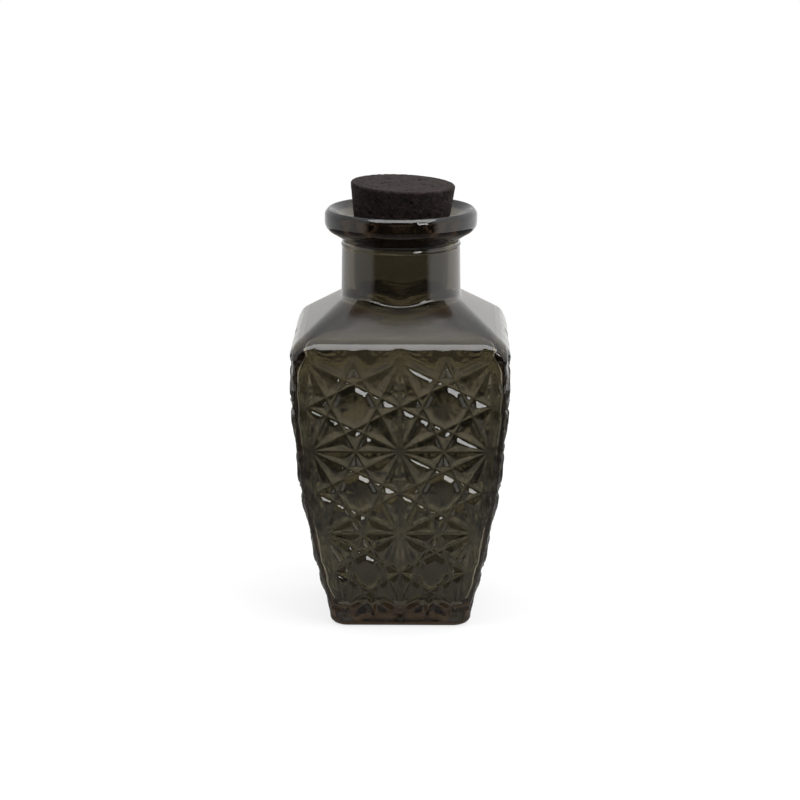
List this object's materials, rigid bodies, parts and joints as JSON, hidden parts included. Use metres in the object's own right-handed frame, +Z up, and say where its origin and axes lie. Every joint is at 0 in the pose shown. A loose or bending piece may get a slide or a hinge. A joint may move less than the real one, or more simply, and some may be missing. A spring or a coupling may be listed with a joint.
{
  "type": "square pressed-glass bottle with cork stopper",
  "caption": "Square smoked-glass bottle that tapers to the foot, with a star-and-button relief, a round neck, a flared lip and a tapered cork stopper.",
  "frame": {"origin": "centre of the foot, on the surface that the bottle stands on", "axes": "+Z up the bottle's axis to the mouth, -Y out of its front side, +X out of the side to the right of it"},
  "size_m": [0.0766, 0.0766, 0.1555],
  "materials": {
    "smoked_glass": "polished",
    "dark_cork": "matte"
  },
  "bodies": {
    "bottle": {"glass_bottle": "smoked_glass"},
    "stopper": {"cork_stopper": "dark_cork"}
  },
  "joints": [
    {"name": "stopper_pull", "type": "slide", "parent": "bottle", "child": "stopper", "axis": [0.0443, -0.0161, 0.9989], "range_m": [0, 0.06]}
  ]
}
